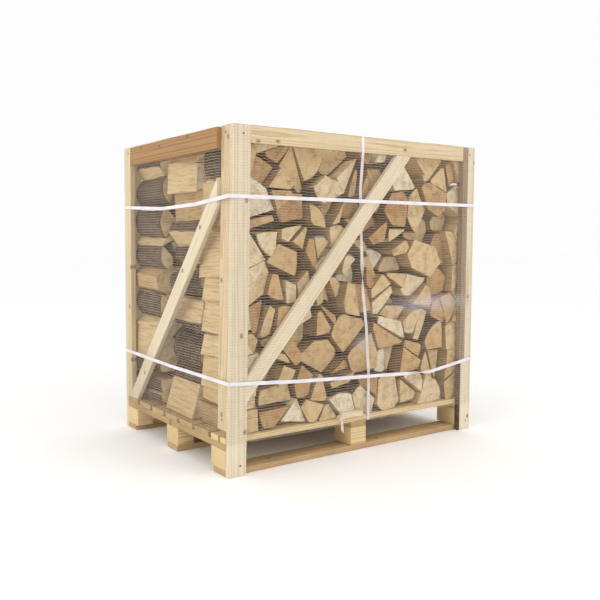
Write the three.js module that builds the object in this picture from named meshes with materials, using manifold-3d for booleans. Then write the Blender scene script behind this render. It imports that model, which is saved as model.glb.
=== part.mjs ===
// A pallet crate of split firewood, in millimetres.
// +X runs along the long front, +Y from the front to the back, +Z up.
// The origin is on the ground, in the middle of the footprint.
import * as THREE from "three";
import { mergeVertices } from "three/addons/utils/BufferGeometryUtils.js";
import Module from "manifold-3d";

const wasm = await Module();
wasm.setup();

// Driving dimensions.
const LENGTH = 1200; // pallet length along X
const DEPTH = 800; // pallet depth along Y
const HEIGHT = 1180; // ground to the top of the front posts and rail
const GAP = 0.3; // clearance between pieces that touch

// Pallet, from the ground up.
const SKID_THICK = 20;
const SKID_WIDE = 80;
const BLOCK_TALL = 68;
const STRINGER_THICK = 22;
const STRINGER_WIDE = 76;
const DECK_THICK = 20;
const DECK_WIDE = 98;
const DECK_COUNT = 7;
const MIDDLE_SHIFT_X = -6; // the middle blocks and stringer sit a little to the left
const BLOCK_COLUMNS = [
  { name: "left", low: -LENGTH / 2, wide: 70 },
  { name: "middle", low: MIDDLE_SHIFT_X - 38, wide: 76 },
  { name: "right", low: LENGTH / 2 - 70, wide: 70 },
];
const BLOCK_ROWS = [
  { name: "front", low: -DEPTH / 2, deep: 96, skidLow: -DEPTH / 2 },
  { name: "middle", low: -54, deep: 90, skidLow: -49 },
  { name: "back", low: DEPTH / 2 - 96, deep: 96, skidLow: DEPTH / 2 - SKID_WIDE },
];
const BLOCK_LOW = SKID_THICK + GAP;
const BLOCK_TOP = BLOCK_LOW + BLOCK_TALL;
const STRINGER_LOW = BLOCK_TOP + GAP;
const DECK_LOW = STRINGER_LOW + STRINGER_THICK + GAP;
const DECK_TOP = DECK_LOW + DECK_THICK;

// Corner posts: two boards each, nailed to an L. The front left post leans to the right.
const POST_THICK = 20; // front and back boards, along Y
const POST_WIDE = 70; // front and back boards, along X
const SIDE_THICK = 22; // side boards, along X
const SIDE_WIDE_FRONT = 56; // side boards of the front posts, along Y
const SIDE_WIDE_BACK = 38; // side boards of the back posts, along Y
const LEAN = 19; // how far the front left post leans at its top
const BACK_DROP = 3; // how much lower the back posts end
const SIDE_FOOT = 24; // gap between the deck and the front side boards

// Rails and braces.
const FRONT_RAIL_TALL = 58;
const SIDE_RAIL_TALL = 72;
const SIDE_RAIL_DROP = 4; // the side rails end a little lower than the posts
const BRACE_SLOPE = 1.15; // rise over run of the front and back braces
const BRACE_FOOT = 248; // height at which a brace's lower edge meets the post
const BRACE_RISE = 86; // height of the cut where a brace meets the post
const SIDE_BRACE_SLOPE = 1.2;
const SIDE_BRACE_TOP = 916; // height at which the lower edge meets the post
const SIDE_BRACE_RISE = 92;

// Split logs, stacked in three rows, one behind another.
const STACK_HALF_X = 572;
const STACK_HALF_Y = 396;
const ROW_GAP = 4;
const STACK_TOP = 1126; // mean height of the uneven top
const STACK_STEPS = 16; // points along the uneven top

// Straps and net wrap. The real net's fine mesh is drawn as a few wide windows.
const STRAP_WIDE = 13;
const STRAP_THICK = 0.8;
const WRAP_THICK = 0.8;
const WRAP_LOW = 112;
const NET_STRAND = 5;
const NET_ROWS = 8;
const NET_COLUMNS_FRONT = 5;
const NET_COLUMNS_SIDE = 3;
const WRAP_HALF_X = LENGTH / 2 + GAP;
const WRAP_HALF_Y = DEPTH / 2 + POST_THICK + 2 * GAP + STRAP_THICK + 0.2;
const BAND_HALF_X = WRAP_HALF_X + WRAP_THICK + GAP;
const BAND_HALF_Y = WRAP_HALF_Y + WRAP_THICK + GAP;

const HALF_L = LENGTH / 2;
const HALF_D = DEPTH / 2;

const firewood = new THREE.Group();

function wood(color, roughness) {
  return new THREE.MeshStandardMaterial({ color, roughness, metalness: 0 });
}
const finish = {
  pale: () => wood("#dcc79c", 0.75),
  orange: () => wood("#c9a06a", 0.75),
  weathered: () => wood("#b79d6e", 0.85),
  log: () => wood("#c8a570", 0.85),
  strap: () => new THREE.MeshStandardMaterial({ color: "#eceaf2", roughness: 0.6, metalness: 0 }),
  wrap: () => {
    const net = new THREE.MeshStandardMaterial({ color: "#e4e0e6", roughness: 0.4, metalness: 0 });
    net.transparent = true;
    net.opacity = 0.3;
    return net;
  },
};

function add(name, geometry, material, [x, y, z] = [0, 0, 0]) {
  const mesh = new THREE.Mesh(geometry, material);
  mesh.name = name;
  mesh.position.set(x, y, z);
  firewood.add(mesh);
}

// A straight board between two corners.
function addBoard(name, material, low, high) {
  const size = low.map((v, k) => high[k] - v);
  const middle = low.map((v, k) => (v + high[k]) / 2);
  add(name, new THREE.BoxGeometry(...size), material, middle);
}

// Turns of an outline drawn in the XY plane and extruded along Z.
const AXIS_X = new THREE.Vector3(1, 0, 0);
const AXIS_Y = new THREE.Vector3(0, 1, 0);
const AXIS_Z = new THREE.Vector3(0, 0, 1);
const FACING = {
  up: new THREE.Matrix4(),
  right: new THREE.Matrix4().makeBasis(AXIS_Y, AXIS_Z, AXIS_X),
  front: new THREE.Matrix4().makeBasis(AXIS_X, AXIS_Z, AXIS_Y.clone().negate()),
};

// A plate whose outline faces up (x, y), right (y, z) or front (x, z).
function addPlate(name, material, facing, outline, thick, offset) {
  const shape = new THREE.Shape(outline.map(([u, v]) => new THREE.Vector2(u, v)));
  const geometry = new THREE.ExtrudeGeometry(shape, { depth: thick, bevelEnabled: false });
  geometry.applyMatrix4(FACING[facing]);
  add(name, geometry, material, offset);
}

// How far the front left post has leaned at a height.
function leanAt(z) {
  return (LEAN * z) / HEIGHT;
}

// ---- Pallet ----
for (const row of BLOCK_ROWS) {
  addBoard(
    `skid_${row.name}`,
    finish.weathered(),
    [-HALF_L, row.skidLow, 0],
    [HALF_L, row.skidLow + SKID_WIDE, SKID_THICK],
  );
  for (const column of BLOCK_COLUMNS) {
    addBoard(
      `block_${row.name}_${column.name}`,
      finish.weathered(),
      [column.low, row.low, BLOCK_LOW],
      [column.low + column.wide, row.low + row.deep, BLOCK_TOP],
    );
  }
}
for (const column of BLOCK_COLUMNS) {
  const outer = column.name === "right" ? HALF_L - STRINGER_WIDE : column.low;
  addBoard(
    `stringer_${column.name}`,
    finish.weathered(),
    [outer, -HALF_D, STRINGER_LOW],
    [outer + STRINGER_WIDE, HALF_D, STRINGER_LOW + STRINGER_THICK],
  );
}
const deckStep = (DEPTH - DECK_WIDE) / (DECK_COUNT - 1);
for (let i = 0; i < DECK_COUNT; i += 1) {
  const low = -HALF_D + i * deckStep;
  addBoard(
    `deck_board_${i + 1}`,
    finish.weathered(),
    [-HALF_L, low, DECK_LOW],
    [HALF_L, low + DECK_WIDE, DECK_TOP],
  );
}

// ---- Corner posts ----
const posts = [
  { name: "front_left", side: -1, row: -1, lean: LEAN, top: HEIGHT },
  { name: "front_right", side: 1, row: -1, lean: 0, top: HEIGHT },
  { name: "back_left", side: -1, row: 1, lean: 0, top: HEIGHT - BACK_DROP },
  { name: "back_right", side: 1, row: 1, lean: 0, top: HEIGHT - BACK_DROP },
];

// Outline (x, z) of an upright board from its outer face inwards, with level ends.
function uprightOutline(side, wide, low, top, lean) {
  const outer = side * HALF_L;
  const inner = side * (HALF_L - wide);
  const [left, right] = side < 0 ? [outer, inner] : [inner, outer];
  const lowShift = (lean * low) / HEIGHT;
  const topShift = (lean * top) / HEIGHT;
  return [
    [left + lowShift, low],
    [right + lowShift, low],
    [right + topShift, top],
    [left + topShift, top],
  ];
}

for (const post of posts) {
  const faceOutline = uprightOutline(post.side, POST_WIDE, 0, post.top, post.lean);
  const faceY = post.row < 0 ? -HALF_D - GAP : HALF_D + POST_THICK;
  const faceName = post.row < 0 ? "front_board" : "back_board";
  addPlate(`post_${post.name}_${faceName}`, finish.pale(), "front", faceOutline,
    POST_THICK - GAP, [0, faceY, 0]);
  const foot = DECK_TOP + (post.row < 0 ? SIDE_FOOT : GAP);
  const sideOutline = uprightOutline(post.side, SIDE_THICK, foot, post.top, post.lean);
  const sideWide = post.row < 0 ? SIDE_WIDE_FRONT : SIDE_WIDE_BACK;
  const sideY = post.row < 0 ? -HALF_D + sideWide : HALF_D;
  addPlate(`post_${post.name}_side_board`, finish.pale(), "front", sideOutline,
    sideWide, [0, sideY, 0]);
}

// ---- Top rails ----
const railLow = HEIGHT - FRONT_RAIL_TALL;
const postInner = HALF_L - POST_WIDE - GAP;
addPlate("rail_front", finish.pale(), "front",
  [
    [-postInner + leanAt(railLow), railLow],
    [postInner, railLow],
    [postInner, HEIGHT],
    [-postInner + leanAt(HEIGHT), HEIGHT],
  ],
  POST_THICK - GAP, [0, -HALF_D - GAP, 0]);
addBoard("rail_back", finish.pale(),
  [-postInner, HALF_D + GAP, railLow - BACK_DROP],
  [postInner, HALF_D + POST_THICK, HEIGHT - BACK_DROP]);

const sideRailLow = HEIGHT - SIDE_RAIL_DROP - SIDE_RAIL_TALL;
const sideRailFront = -HALF_D + SIDE_WIDE_FRONT + GAP;
const sideRailBack = HALF_D - SIDE_WIDE_BACK - GAP;
for (const side of [-1, 1]) {
  const shift = side < 0 ? leanAt(HEIGHT) : 0;
  const outer = side * HALF_L;
  const inner = side * (HALF_L - SIDE_THICK);
  const [left, right] = side < 0 ? [outer, inner] : [inner, outer];
  addPlate(side < 0 ? "rail_left" : "rail_right", finish.orange(), "up",
    [
      [left + shift, sideRailFront],
      [right + shift, sideRailFront],
      [right, sideRailBack],
      [left, sideRailBack],
    ],
    SIDE_RAIL_TALL, [0, 0, sideRailLow]);
}

// ---- Diagonal braces ----
// Front and back: from low on one post up to the underside of the rail.
function braceOutline(start, top) {
  const run = (z, edge) => start + (z - edge) / BRACE_SLOPE;
  const upper = BRACE_FOOT + BRACE_RISE;
  return [
    [start, BRACE_FOOT],
    [run(top, BRACE_FOOT), top],
    [run(top, upper), top],
    [start, upper],
  ];
}
// The cut against the leaning post follows its inner edge.
const frontBrace = braceOutline(-postInner, railLow - GAP);
frontBrace[0][0] += leanAt(BRACE_FOOT);
frontBrace[3][0] += leanAt(BRACE_FOOT + BRACE_RISE);
addPlate("brace_front", finish.pale(), "front", frontBrace, POST_THICK - GAP,
  [0, -HALF_D - GAP, 0]);
const backBrace = braceOutline(-postInner, railLow - BACK_DROP - GAP).map(([x, z]) => [-x, z]);
addPlate("brace_back", finish.pale(), "front", backBrace, POST_THICK - GAP,
  [0, HALF_D + POST_THICK, 0]);

// Sides: from the deck beside one post up to the edge of the other, as (run from the upper end, z).
const deckRest = DECK_TOP + GAP;
const sideRun = sideRailBack - sideRailFront;
const sideUpper = SIDE_BRACE_TOP + SIDE_BRACE_RISE;
const sideBrace = [
  [0, SIDE_BRACE_TOP],
  [(SIDE_BRACE_TOP - deckRest) / SIDE_BRACE_SLOPE, deckRest],
  [sideRun, deckRest],
  [sideRun, sideUpper - sideRun * SIDE_BRACE_SLOPE],
  [0, sideUpper],
];
const SIDE_BRACE_THICK = SIDE_THICK - 2;
addPlate("brace_left", finish.pale(), "right",
  sideBrace.map(([run, z]) => [sideRailFront + run, z]),
  SIDE_BRACE_THICK, [-HALF_L + 1, 0, 0]);
addPlate("brace_right", finish.pale(), "right",
  sideBrace.map(([run, z]) => [sideRailBack - run, z]),
  SIDE_BRACE_THICK, [HALF_L - 1 - SIDE_BRACE_THICK, 0, 0]);

// ---- Split logs ----
// Each row is one solid with an uneven top, as deep as a log is long.
// Their left ends lean with the post and the rail beside them, less and less towards the back.
const rowDeep = (2 * STACK_HALF_Y - 2 * ROW_GAP) / 3;
const logRows = [
  { name: "front", leanShare: 1 },
  { name: "middle", leanShare: 0.7 },
  { name: "back", leanShare: 0.35 },
];
logRows.forEach(({ name, leanShare }, row) => {
  const low = DECK_TOP + GAP;
  const leftAt = (z) => -STACK_HALF_X + leanShare * leanAt(z);
  const outline = [[leftAt(low), low], [STACK_HALF_X, low]];
  for (let i = STACK_STEPS; i >= 0; i -= 1) {
    const z = STACK_TOP + 18 * Math.sin(1.7 * i + 1.3 * row) + 12 * Math.sin(3.1 * i + row);
    const x = leftAt(z) + ((STACK_HALF_X - leftAt(z)) * i) / STACK_STEPS;
    outline.push([x, z]);
  }
  const back = -STACK_HALF_Y + (row + 1) * rowDeep + row * ROW_GAP;
  addPlate(`logs_${name}_row`, finish.log(), "front", outline, rowDeep, [0, back, 0]);
});

// ---- Straps and wrap ----
// A closed flat band through points, with its width along one axis and its thickness outwards.
function bandLoop(points, widthAxis, wide, thick) {
  const [a, b] = [(widthAxis + 1) % 3, (widthAxis + 2) % 3];
  const count = points.length;
  const positions = [];
  points.forEach((point, i) => {
    const before = points[(i + count - 1) % count];
    const after = points[(i + 1) % count];
    const normals = [[before, point], [point, after]].map(([from, to]) => {
      const run = new THREE.Vector2(to[a] - from[a], to[b] - from[b]).normalize();
      return new THREE.Vector2(run.y, -run.x);
    });
    const mitre = normals[0].clone().add(normals[1]);
    mitre.multiplyScalar(1 / (1 + normals[0].dot(normals[1])));
    for (const out of [0, thick]) {
      for (const across of [-wide / 2, wide / 2]) {
        const corner = [...point];
        corner[a] += mitre.x * out;
        corner[b] += mitre.y * out;
        corner[widthAxis] += across;
        positions.push(...corner);
      }
    }
  });
  // Corners of a section in order: inner low, inner high, outer high, outer low.
  const ring = [0, 1, 3, 2];
  const index = [];
  for (let i = 0; i < count; i += 1) {
    const j = (i + 1) % count;
    ring.forEach((corner, k) => {
      const next = ring[(k + 1) % ring.length];
      const quad = [4 * i + corner, 4 * i + next, 4 * j + next, 4 * j + corner];
      index.push(quad[0], quad[1], quad[2], quad[0], quad[2], quad[3]);
    });
  }
  const geometry = new THREE.BufferGeometry();
  geometry.setAttribute("position", new THREE.Float32BufferAttribute(positions, 3));
  geometry.setIndex(index);
  geometry.computeVertexNormals();
  return geometry;
}

// The two level straps lie over the wrap. Heights are taken at each corner and in each span.
const upperStrap = [
  [-BAND_HALF_X, -BAND_HALF_Y, 943],
  [BAND_HALF_X, -BAND_HALF_Y, 942],
  [BAND_HALF_X, BAND_HALF_Y, 936],
  [-BAND_HALF_X, BAND_HALF_Y, 932],
  [-BAND_HALF_X, 65, 916],
  [-BAND_HALF_X, -194, 923],
];
const lowerStrap = [
  [-BAND_HALF_X, -BAND_HALF_Y, 320],
  [-303, -BAND_HALF_Y, 299],
  [350, -BAND_HALF_Y, 267],
  [BAND_HALF_X, -BAND_HALF_Y, 302],
  [BAND_HALF_X, BAND_HALF_Y, 312],
  [-BAND_HALF_X, BAND_HALF_Y, 327],
  [-BAND_HALF_X, 0, 319],
];
// The upright strap goes over both rails, behind both braces and under the deck.
const overRail = HALF_D + POST_THICK + GAP;
const behindBrace = HALF_D - GAP - STRAP_THICK - 0.5;
const uprightStrap = [
  [-20, -overRail, HEIGHT + GAP],
  [-19, -overRail, railLow],
  [-10, -behindBrace, 985],
  [-4, -behindBrace, 830],
  [8, -behindBrace, 610],
  [28, -behindBrace, 468],
  [42, -behindBrace, 293],
  [42, -HALF_D - GAP, DECK_TOP],
  [42, -HALF_D - GAP, DECK_LOW - GAP],
  [42, HALF_D + GAP, DECK_LOW - GAP],
  [42, HALF_D + GAP, DECK_TOP],
  [30, behindBrace, 500],
  [10, behindBrace, 830],
  [0, behindBrace, 985],
  [-15, overRail, railLow - BACK_DROP],
  [-20, overRail, HEIGHT + GAP],
];
const AROUND_X = 0;
const AROUND_Z = 2;
add("strap_upper", bandLoop(upperStrap, AROUND_Z, STRAP_WIDE, STRAP_THICK), finish.strap());
add("strap_lower", bandLoop(lowerStrap, AROUND_Z, STRAP_WIDE, STRAP_THICK), finish.strap());
add("strap_upright", bandLoop(uprightStrap, AROUND_X, STRAP_WIDE, STRAP_THICK), finish.strap());

function toSolid(geometry) {
  geometry.deleteAttribute("normal");
  geometry.deleteAttribute("uv");
  const merged = mergeVertices(geometry);
  return new wasm.Manifold(new wasm.Mesh({
    numProp: 3,
    vertProperties: merged.attributes.position.array,
    triVerts: new Uint32Array(merged.index.array),
  }));
}

function toGeometry(solid) {
  const { vertProperties, triVerts } = solid.getMesh();
  const geometry = new THREE.BufferGeometry();
  geometry.setAttribute("position", new THREE.BufferAttribute(vertProperties, 3));
  geometry.setIndex(new THREE.BufferAttribute(triVerts, 1));
  geometry.computeVertexNormals();
  return geometry;
}

// Level rings round the crate, joined by upright strands in each wall.
let net = null;
function weave(geometry) {
  const solid = toSolid(geometry);
  net = net ? net.add(solid) : solid;
}
const netTall = HEIGHT - WRAP_LOW;
for (let i = 0; i <= NET_ROWS; i += 1) {
  const z = WRAP_LOW + NET_STRAND / 2 + (i * (netTall - NET_STRAND)) / NET_ROWS;
  const ring = [[-1, -1], [1, -1], [1, 1], [-1, 1]].map(
    ([x, y]) => [x * WRAP_HALF_X, y * WRAP_HALF_Y, z],
  );
  weave(bandLoop(ring, AROUND_Z, NET_STRAND, WRAP_THICK));
}
const wallX = WRAP_HALF_X + WRAP_THICK / 2;
const wallY = WRAP_HALF_Y + WRAP_THICK / 2;
const netMiddle = (WRAP_LOW + HEIGHT) / 2;
for (const side of [-1, 1]) {
  for (let i = 1; i < NET_COLUMNS_FRONT; i += 1) {
    const strand = new THREE.BoxGeometry(NET_STRAND, WRAP_THICK, netTall);
    weave(strand.translate(wallX * ((2 * i) / NET_COLUMNS_FRONT - 1), side * wallY, netMiddle));
  }
  for (let i = 1; i < NET_COLUMNS_SIDE; i += 1) {
    const strand = new THREE.BoxGeometry(WRAP_THICK, NET_STRAND, netTall);
    weave(strand.translate(side * wallX, wallY * ((2 * i) / NET_COLUMNS_SIDE - 1), netMiddle));
  }
}
add("net_wrap", toGeometry(net), finish.wrap());

export default firewood;
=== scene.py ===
"""A pallet crate of split firewood, in metres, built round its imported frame.

+X runs along the long front, +Y from the front to the back and +Z up, from the ground.
"""

import math
import random

import bpy
import numpy as np
from mathutils import Matrix, Vector, noise


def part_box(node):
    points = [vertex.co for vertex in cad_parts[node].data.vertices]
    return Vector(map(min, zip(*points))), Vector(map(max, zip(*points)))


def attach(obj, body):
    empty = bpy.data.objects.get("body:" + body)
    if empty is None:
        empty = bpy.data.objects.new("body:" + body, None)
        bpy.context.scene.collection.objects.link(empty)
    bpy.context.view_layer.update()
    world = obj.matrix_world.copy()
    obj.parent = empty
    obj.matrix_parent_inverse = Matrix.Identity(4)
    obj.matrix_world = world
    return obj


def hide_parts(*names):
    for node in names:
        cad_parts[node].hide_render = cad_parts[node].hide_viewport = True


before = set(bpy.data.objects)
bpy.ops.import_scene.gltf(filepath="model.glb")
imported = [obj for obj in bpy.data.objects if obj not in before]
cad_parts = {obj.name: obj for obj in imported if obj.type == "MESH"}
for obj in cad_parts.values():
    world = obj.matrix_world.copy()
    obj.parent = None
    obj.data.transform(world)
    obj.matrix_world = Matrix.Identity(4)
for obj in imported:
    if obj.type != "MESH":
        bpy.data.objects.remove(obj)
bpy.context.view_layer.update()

noise.seed_set(11)  # unseeded, the small drifts of boards and logs would differ from run to run

MM = 0.001
UP = Vector((0, 0, 1))
POST_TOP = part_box("post_front_right_front_board")[1].z
DECK_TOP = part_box("deck_board_1")[1].z
LEAN = 19 * MM  # how far the front left post leans to the right at its top
SIDE_BOARD_SHARE = 0.869  # a post's side board starts above the pallet, so it leans by this share
BOARD_WIDE = 70 * MM


def lean_at(height):
    """How far the front left post has leaned at a height."""
    return LEAN * height / POST_TOP


# ---------------------------------------------------------------- camera, light and floor


def aim_camera():
    """A standing person's view of the front and the left side, from beyond the front left corner."""
    yaw, pitch, roll = -0.5858, -0.0651, 0.0027
    camera = bpy.data.cameras.new("camera")
    camera.sensor_width = 36
    camera.lens = 43.49
    camera.shift_x = 0.075
    camera.shift_y = -0.025
    viewer = bpy.data.objects.new("camera", camera)
    bpy.context.scene.collection.objects.link(viewer)
    place = Matrix.Translation((-1.8434, -2.4516, 0.8061))
    turned = Matrix.Rotation(yaw, 4, "Z")
    tipped = Matrix.Rotation(math.pi / 2 + pitch, 4, "X")
    rolled = Matrix.Rotation(roll, 4, "Z")
    viewer.matrix_world = place @ turned @ tipped @ rolled
    bpy.context.scene.camera = viewer


def soft_light(name, place, size, power, code="#FFFFFF"):
    """A square studio light that faces the middle of the crate."""
    lamp = bpy.data.lights.new(name, "AREA")
    lamp.size = size
    lamp.energy = power
    lamp.color = linear(code)[:3]
    holder = bpy.data.objects.new(name, lamp)
    holder.location = place
    holder.rotation_euler = (Vector((0, 0, 0.55)) - Vector(place)).to_track_quat("-Z", "Y").to_euler()
    bpy.context.scene.collection.objects.link(holder)


def light_studio():
    """A white room with two large soft lights, one at the front right and one at the left."""
    world = bpy.data.worlds.new("white_room")
    world.use_nodes = True
    sky = world.node_tree.nodes["Background"]
    sky.inputs["Color"].default_value = linear("#FFFFFF")
    sky.inputs["Strength"].default_value = 0.98
    bpy.context.scene.world = world
    soft_light("key_light", (1.9, -3.6, 3.1), 2.6, 38, "#FFF9F0")
    soft_light("side_light", (-4.2, -0.9, 2.0), 2.6, 42, "#FFF9F0")
    bpy.context.scene.view_settings.view_transform = "Standard"


def lay_floor():
    """A wide pale floor under the crate."""
    only(None)
    bpy.ops.mesh.primitive_plane_add(size=60, location=(0, 0, -0.001))
    floor = bpy.context.object
    floor.name = "studio_floor"
    paint = bpy.data.materials.new("matt_white_floor")
    paint.use_nodes = True
    shader = paint.node_tree.nodes["Principled BSDF"]
    shader.inputs["Base Color"].default_value = linear("#FFFFFF")
    shader.inputs["Roughness"].default_value = 0.9
    floor.data.materials.append(paint)


# ---------------------------------------------------------------- helpers for materials


def linear(code, alpha=1.0):
    """A colour written as sRGB hex, turned linear."""
    shares = [int(code[i : i + 2], 16) / 255 for i in (1, 3, 5)]
    return (*[s / 12.92 if s <= 0.04045 else ((s + 0.055) / 1.055) ** 2.4 for s in shares], alpha)


def add_node(tree, kind, inputs=None, stops=None, **settings):
    """Adds a node with its settings, its inputs linked or set, and the stops of its ramp if it has one."""
    node = tree.nodes.new(kind)
    for name, value in settings.items():
        setattr(node, name, value)
    for socket, value in (inputs or {}).items():
        if isinstance(value, bpy.types.NodeSocket):
            tree.links.new(value, node.inputs[socket])
        else:
            node.inputs[socket].default_value = value
    if stops:
        elements = node.color_ramp.elements
        for element, (place, colour) in zip((elements[0], elements[-1]), (stops[0], stops[-1])):
            element.position = place
            element.color = colour
        for place, colour in stops[1:-1]:
            elements.new(place).color = colour
    return node


def grey(value):
    return (value, value, value, 1)


def start_material(name, roughness, ior=1.5):
    """A new material, its tree and its shader."""
    material = bpy.data.materials.new(name)
    material.use_nodes = True
    tree = material.node_tree
    shader = tree.nodes["Principled BSDF"]
    shader.inputs["Roughness"].default_value = roughness
    shader.inputs["IOR"].default_value = ior
    return material, tree, shader


def per_metre(*sizes_mm):
    """The scale that makes a pattern's features the given sizes, in millimetres."""
    return tuple(1 / (size * MM) for size in sizes_mm)


RING_PERIOD = 2 * math.pi / 20  # a wave texture at scale 1 repeats after this many metres


# ---------------------------------------------------------------- timber materials
# "grain" is a point's place in its own piece of timber: across, along and through the fibres,
# measured from the pith, in metres. "tone" is from 0, dark, to 1, pale, one value for each piece.


def timber_inputs(tree):
    grain = add_node(tree, "ShaderNodeAttribute", attribute_name="grain").outputs["Vector"]
    tone = add_node(tree, "ShaderNodeAttribute", attribute_name="tone").outputs["Fac"]
    return grain, tone


def sawn_timber(name, early, late, worn, wear, knot_share, roughness, paint=False):
    """Softwood from a frame saw: growth rings cut lengthways, fine saw lines, knots and some greying."""
    material, tree, shader = start_material(name, roughness)
    grain, tone = timber_inputs(tree)
    # Growth rings 6 mm apart, stretched along the board so that they wander slowly.
    long_grain = add_node(tree, "ShaderNodeMapping", {"Vector": grain, "Scale": (1, 0.07, 1)}).outputs[0]
    rings = add_node(tree, "ShaderNodeTexWave", {
        "Vector": long_grain, "Scale": RING_PERIOD / (6 * MM), "Distortion": 3.5,
        "Detail": 2.0, "Detail Scale": 0.5,
    }, wave_type="RINGS", rings_direction="Y", wave_profile="SAW").outputs["Fac"]
    ring_colour = add_node(tree, "ShaderNodeValToRGB", {"Fac": rings}, stops=[
        (0.0, linear(early)), (0.45, linear(early)), (0.9, linear(late)), (1.0, linear(early)),
    ]).outputs["Color"]
    # Streaks of fibre, 5 mm wide and a quarter of a metre long.
    fibre_place = add_node(tree, "ShaderNodeMapping", {"Vector": grain, "Scale": per_metre(5, 260, 5)})
    fibres = add_node(tree, "ShaderNodeTexNoise", {
        "Vector": fibre_place.outputs[0], "Scale": 1.0, "Detail": 4.0, "Roughness": 0.6,
    }).outputs["Fac"]
    fibre_shade = add_node(tree, "ShaderNodeValToRGB", {"Fac": fibres}, stops=[
        (0.3, grey(0.80)), (0.5, grey(0.97)), (0.7, grey(1.0)),
    ]).outputs["Color"]
    streaked = add_node(tree, "ShaderNodeMix", {0: 1.0, 6: ring_colour, 7: fibre_shade},
                        data_type="RGBA", blend_type="MULTIPLY").outputs[2]
    # Broad patches where the board has greyed or picked up dirt.
    patch_place = add_node(tree, "ShaderNodeMapping", {"Vector": grain, "Scale": per_metre(55, 190, 55)})
    patches = add_node(tree, "ShaderNodeTexNoise", {
        "Vector": patch_place.outputs[0], "Scale": 1.0, "Detail": 5.0, "Roughness": 0.65,
    }).outputs["Fac"]
    worn_share = add_node(tree, "ShaderNodeMapRange", {
        "Value": patches, "From Min": 0.42, "From Max": 0.72, "To Min": 0.0, "To Max": wear,
    }).outputs[0]
    greyed = add_node(tree, "ShaderNodeMix", {0: worn_share, 6: streaked, 7: linear(worn)},
                      data_type="RGBA").outputs[2]
    # Knots about 14 mm across: one in every patch of 110 x 150 mm, and some of those show.
    knot_place = add_node(tree, "ShaderNodeMapping", {"Vector": grain, "Scale": per_metre(110, 150, 110)})
    knots = add_node(tree, "ShaderNodeTexVoronoi", {"Vector": knot_place.outputs[0], "Scale": 1.0},
                     voronoi_dimensions="2D")
    knot_near = add_node(tree, "ShaderNodeMapRange", {
        "Value": knots.outputs["Distance"], "From Min": 0.03, "From Max": 0.085,
        "To Min": 0.85, "To Max": 0.0,
    }).outputs[0]
    knot_pick = add_node(tree, "ShaderNodeSeparateXYZ", {0: knots.outputs["Color"]}).outputs["X"]
    knot_shows = add_node(tree, "ShaderNodeMath", {0: knot_pick, 1: 1 - knot_share},
                          operation="GREATER_THAN").outputs[0]
    knot_mask = add_node(tree, "ShaderNodeMath", {0: knot_near, 1: knot_shows},
                         operation="MULTIPLY").outputs[0]
    knotted = add_node(tree, "ShaderNodeMix", {0: knot_mask, 6: greyed, 7: linear("#7F5B3C")},
                       data_type="RGBA").outputs[2]
    if paint:
        knotted = add_scuffs(tree, knotted)
    brightness = add_node(tree, "ShaderNodeMapRange", {
        "Value": tone, "To Min": 0.84, "To Max": 1.08,
    }).outputs[0]
    toned = add_node(tree, "ShaderNodeHueSaturation", {"Color": knotted, "Value": brightness}).outputs[0]
    tree.links.new(toned, shader.inputs["Base Color"])
    # Saw lines 4 mm apart across the board, and the fibres, stand up a few tenths of a millimetre.
    saw_lines = add_node(tree, "ShaderNodeTexWave", {
        "Vector": grain, "Scale": RING_PERIOD / (4 * MM), "Distortion": 2.0, "Detail": 2.0,
        "Detail Scale": 1.2,
    }, bands_direction="Y").outputs["Fac"]
    height = add_node(tree, "ShaderNodeMath", {0: saw_lines, 1: 0.35, 2: fibres},
                      operation="MULTIPLY_ADD").outputs[0]
    bump = add_node(tree, "ShaderNodeBump", {"Height": height, "Strength": 0.7, "Distance": 0.5 * MM})
    tree.links.new(bump.outputs[0], shader.inputs["Normal"])
    return material


def add_scuffs(tree, colour):
    """Red paint rubbed off on the lower edge of the front skid."""
    place = add_node(tree, "ShaderNodeTexCoord").outputs["Object"]
    stretched = add_node(tree, "ShaderNodeMapping", {"Vector": place, "Scale": per_metre(45, 200, 9)})
    rubbed = add_node(tree, "ShaderNodeTexNoise", {
        "Vector": stretched.outputs[0], "Scale": 1.0, "Detail": 4.0, "Roughness": 0.7,
    }).outputs["Fac"]
    height = add_node(tree, "ShaderNodeSeparateXYZ", {0: place}).outputs["Z"]
    low_edge = add_node(tree, "ShaderNodeMapRange", {
        "Value": height, "From Min": 5 * MM, "From Max": 14 * MM, "To Min": 0.09, "To Max": -0.1,
    }).outputs[0]
    added = add_node(tree, "ShaderNodeMath", {0: rubbed, 1: low_edge}, operation="ADD").outputs[0]
    share = add_node(tree, "ShaderNodeMapRange", {
        "Value": added, "From Min": 0.6, "From Max": 0.68, "To Min": 0.0, "To Max": 0.7,
    }).outputs[0]
    return add_node(tree, "ShaderNodeMix", {0: share, 6: colour, 7: linear("#D9706A")},
                    data_type="RGBA").outputs[2]


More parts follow.
